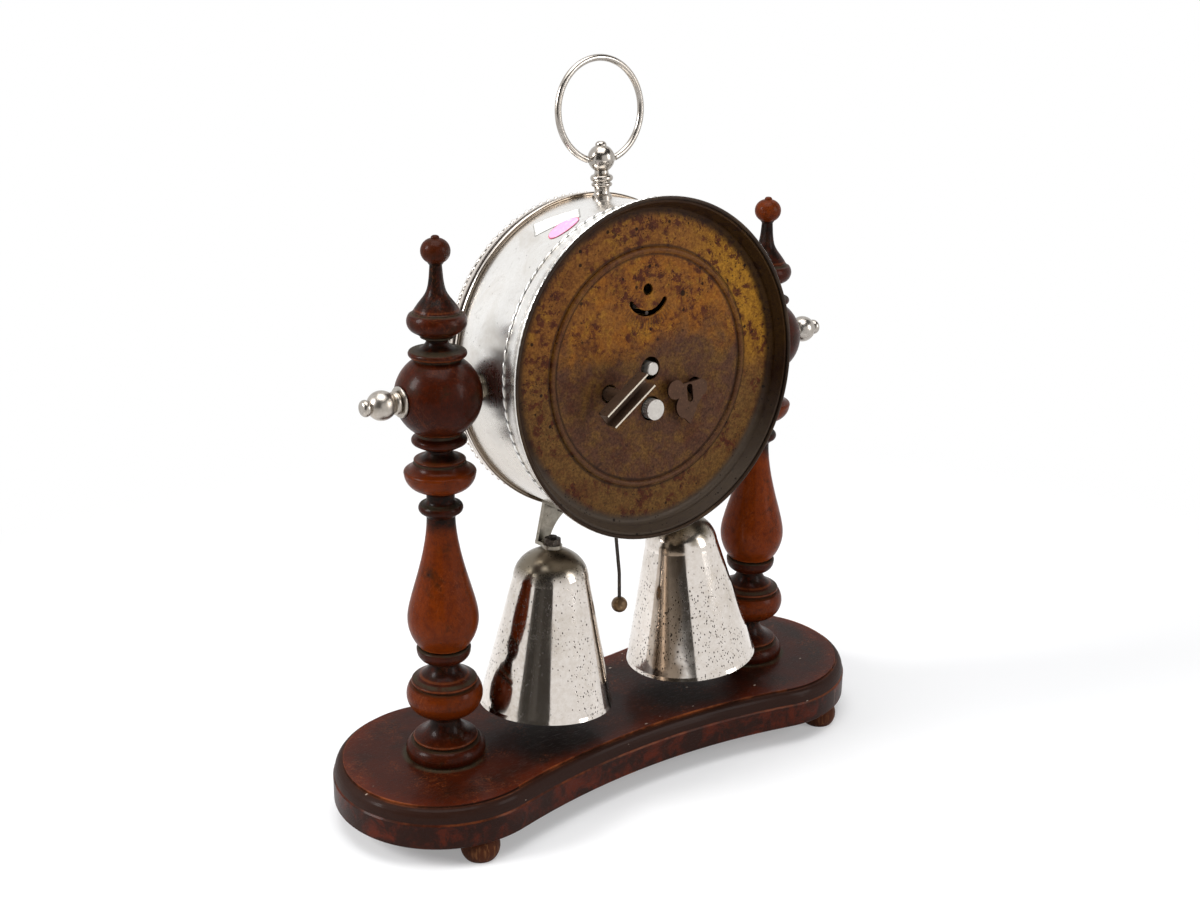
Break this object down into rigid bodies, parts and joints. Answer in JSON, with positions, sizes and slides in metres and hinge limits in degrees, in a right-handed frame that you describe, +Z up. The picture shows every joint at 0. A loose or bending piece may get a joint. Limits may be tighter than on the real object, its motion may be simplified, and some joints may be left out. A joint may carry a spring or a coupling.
{
  "type": "table alarm clock",
  "caption": "Round table alarm clock in a nickelled drum, hung on trunnions between two turned wooden columns, with two bells and a hammer under it",
  "frame": {"origin": "on the floor under the middle of the board, midway between the columns", "axes": "+Z up, the dial looks towards -Y, the back cover towards +Y, +X is the left column seen from behind"},
  "size_m": [0.251, 0.0892, 0.2961],
  "materials": {
    "stained_wood": "stained and waxed, worn edges",
    "nickel_plate": "polished nickel plate, pitted",
    "dark_steel": "oxidised steel",
    "bright_steel": "turned steel",
    "aged_brass": "patinated brass with stains and pits",
    "movement_brass": "plain rolled and turned brass",
    "blued_steel": "blued steel",
    "dial_paper": "printed paper on a metal dial",
    "clear_glass": "clear domed glass"
  },
  "bodies": {
    "stand": {"base_board": "stained_wood", "feet": "stained_wood", "column_left": "stained_wood", "column_right": "stained_wood"},
    "knob_left": {"trunnion_knob_left": "nickel_plate", "trunnion_pin_left": "bright_steel"},
    "knob_right": {"trunnion_knob_right": "nickel_plate", "trunnion_pin_right": "bright_steel"},
    "drum": {"drum_case": "nickel_plate", "trunnion_bosses": "movement_brass", "rope_line": "nickel_plate", "front_bezel": "nickel_plate", "pearl_ring": "nickel_plate", "dial_glass": "clear_glass", "dial": "dial_paper", "back_cover": "aged_brass", "pendant": "nickel_plate", "bell_left": "nickel_plate", "bell_right": "nickel_plate", "bell_bracket_left": "nickel_plate", "bell_bracket_right": "nickel_plate", "bracket_screws": "dark_steel", "bell_screws": "dark_steel", "bell_nuts": "dark_steel", "front_plate": "movement_brass", "back_plate": "movement_brass", "pillars": "movement_brass", "pillar_nuts": "bright_steel", "movement_holders": "movement_brass", "time_mainspring": "blued_steel", "alarm_mainspring": "blued_steel", "hairspring": "blued_steel"},
    "ring": {"ring_handle": "nickel_plate"},
    "hammer": {"hammer": "dark_steel", "hammer_ball": "aged_brass"},
    "hand_setter": {"centre_arbor": "bright_steel", "minute_hand": "blued_steel"},
    "minute_gear": {"minute_wheel": "movement_brass"},
    "hour_gear": {"hour_wheel": "movement_brass", "hour_hand": "blued_steel"},
    "alarm_release": {"release_wheel": "movement_brass"},
    "alarm_setter": {"alarm_set_arbor": "bright_steel", "alarm_set_knob": "bright_steel", "alarm_hand": "blued_steel"},
    "time_winder": {"time_winding_arbor": "bright_steel", "time_key": "aged_brass"},
    "alarm_winder": {"alarm_winding_arbor": "bright_steel", "alarm_key": "aged_brass"},
    "time_barrel": {"time_great_wheel": "movement_brass"},
    "time_pawl": {"time_click": "bright_steel"},
    "alarm_barrel": {"alarm_great_wheel": "movement_brass"},
    "alarm_pawl": {"alarm_click": "bright_steel"},
    "centre_train": {"centre_wheel": "movement_brass"},
    "third_train": {"third_wheel": "movement_brass"},
    "fourth_train": {"fourth_wheel": "movement_brass"},
    "escapement": {"escape_wheel": "movement_brass"},
    "lever": {"pallet_lever": "bright_steel"},
    "balance": {"balance_wheel": "movement_brass"},
    "regulator": {"regulator_lever": "bright_steel"},
    "striker": {"striker_wheel": "movement_brass"}
  },
  "joints": [
    {"name": "drum_tilt", "type": "hinge", "parent": "stand", "child": "drum", "pos_m": [0, 0, 0.1762], "axis": [1, 0, 0], "range_deg": [-60, 60]},
    {"name": "knob_left_turn", "type": "hinge", "parent": "stand", "child": "knob_left", "pos_m": [0.1, 0, 0.1762], "axis": [1, 0, 0], "continuous": true},
    {"name": "knob_right_turn", "type": "hinge", "parent": "stand", "child": "knob_right", "pos_m": [-0.1, 0, 0.1762], "axis": [1, 0, 0], "continuous": true},
    {"name": "ring_swing", "type": "hinge", "parent": "drum", "child": "ring", "pos_m": [0, -0.00935, 0.25687], "axis": [1, 0, 0], "range_deg": [-100, 100]},
    {"name": "hammer_swing", "type": "hinge", "parent": "drum", "child": "hammer", "pos_m": [0.0025, 0.004, 0.14489], "axis": [0, 0.998, 0.0637], "range_deg": [-6, 6]},
    {"name": "hands_set", "type": "hinge", "parent": "drum", "child": "hand_setter", "pos_m": [0, 0.00184, 0.17882], "axis": [0, 0.998, 0.0637], "continuous": true},
    {"name": "minute_gear_turn", "type": "hinge", "parent": "drum", "child": "minute_gear", "pos_m": [-0.0105, -0.01152, 0.18404], "axis": [0, 0.998, 0.0637], "continuous": true},
    {"name": "hour_gear_turn", "type": "hinge", "parent": "drum", "child": "hour_gear", "pos_m": [0, -0.01313, 0.17787], "axis": [0, 0.998, 0.0637], "continuous": true},
    {"name": "release_gear_turn", "type": "hinge", "parent": "drum", "child": "alarm_release", "pos_m": [0, -0.01211, 0.16178], "axis": [0, 0.998, 0.0637], "continuous": true},
    {"name": "alarm_set", "type": "hinge", "parent": "drum", "child": "alarm_setter", "pos_m": [0, 0.00586, 0.16293], "axis": [0, 0.998, 0.0637], "continuous": true},
    {"name": "time_winding", "type": "hinge", "parent": "drum", "child": "time_winder", "pos_m": [0.01989, 0.02524, 0.1732], "axis": [0, 0.998, 0.0637], "continuous": true},
    {"name": "alarm_winding", "type": "hinge", "parent": "drum", "child": "alarm_winder", "pos_m": [-0.0218, 0.02546, 0.16981], "axis": [0, 0.998, 0.0637], "continuous": true},
    {"name": "time_barrel_turn", "type": "hinge", "parent": "drum", "child": "time_barrel", "pos_m": [0.01989, -0.0057, 0.17122], "axis": [0, 0.998, 0.0637], "continuous": true},
    {"name": "alarm_barrel_turn", "type": "hinge", "parent": "drum", "child": "alarm_barrel", "pos_m": [-0.0218, -0.00548, 0.16783], "axis": [0, 0.998, 0.0637], "continuous": true},
    {"name": "time_pawl_lift", "type": "hinge", "parent": "time_barrel", "child": "time_pawl", "pos_m": [0.01989, -0.00422, 0.17954], "axis": [0, 0.998, 0.0637], "range_deg": [0, 10], "stiffness_Nm_per_rad": 0.0001},
    {"name": "alarm_pawl_lift", "type": "hinge", "parent": "alarm_barrel", "child": "alarm_pawl", "pos_m": [-0.0218, -0.004, 0.17614], "axis": [0, 0.998, 0.0637], "range_deg": [0, 10], "stiffness_Nm_per_rad": 0.0001},
    {"name": "centre_turn", "type": "hinge", "parent": "drum", "child": "centre_train", "pos_m": [0, 0.00733, 0.17917], "axis": [0, 0.998, 0.0637], "continuous": true},
    {"name": "third_turn", "type": "hinge", "parent": "drum", "child": "third_train", "pos_m": [0.00563, 0.00902, 0.19182], "axis": [0, 0.998, 0.0637], "continuous": true},
    {"name": "fourth_turn", "type": "hinge", "parent": "drum", "child": "fourth_train", "pos_m": [-0.00764, 0.00182, 0.19483], "axis": [0, 0.998, 0.0637], "continuous": true},
    {"name": "escape_turn", "type": "hinge", "parent": "drum", "child": "escapement", "pos_m": [-0.01566, -0.00245, 0.19883], "axis": [0, 0.998, 0.0637], "continuous": true},
    {"name": "lever_rock", "type": "hinge", "parent": "drum", "child": "lever", "pos_m": [-0.00857, -0.00474, 0.20338], "axis": [0, 0.998, 0.0637], "range_deg": [-4, 4]},
    {"name": "balance_swing", "type": "hinge", "parent": "drum", "child": "balance", "pos_m": [0.0006, 0.00286, 0.20995], "axis": [0, 0.998, 0.0637], "range_deg": [-110, 110], "stiffness_Nm_per_rad": 0.00003},
    {"name": "regulate", "type": "hinge", "parent": "drum", "child": "regulator", "pos_m": [0.0006, 0.01384, 0.21065], "axis": [0, 0.998, 0.0637], "range_deg": [-50, 50]},
    {"name": "striker_turn", "type": "hinge", "parent": "drum", "child": "striker", "pos_m": [-0.00755, 0.00831, 0.15594], "axis": [0, 0.998, 0.0637], "continuous": true}
  ],
  "couplings": [
    {"joint": "minute_gear_turn", "follows": "hands_set", "ratio": -0.33333},
    {"joint": "hour_gear_turn", "follows": "hands_set", "ratio": 0.083333},
    {"joint": "release_gear_turn", "follows": "hands_set", "ratio": -0.083333},
    {"joint": "fourth_turn", "follows": "escape_turn", "ratio": -0.16667},
    {"joint": "third_turn", "follows": "escape_turn", "ratio": 0.022222},
    {"joint": "centre_turn", "follows": "escape_turn", "ratio": -0.002963},
    {"joint": "time_barrel_turn", "follows": "escape_turn", "ratio": 0.00049383},
    {"joint": "alarm_barrel_turn", "follows": "striker_turn", "ratio": -0.11765}
  ]
}
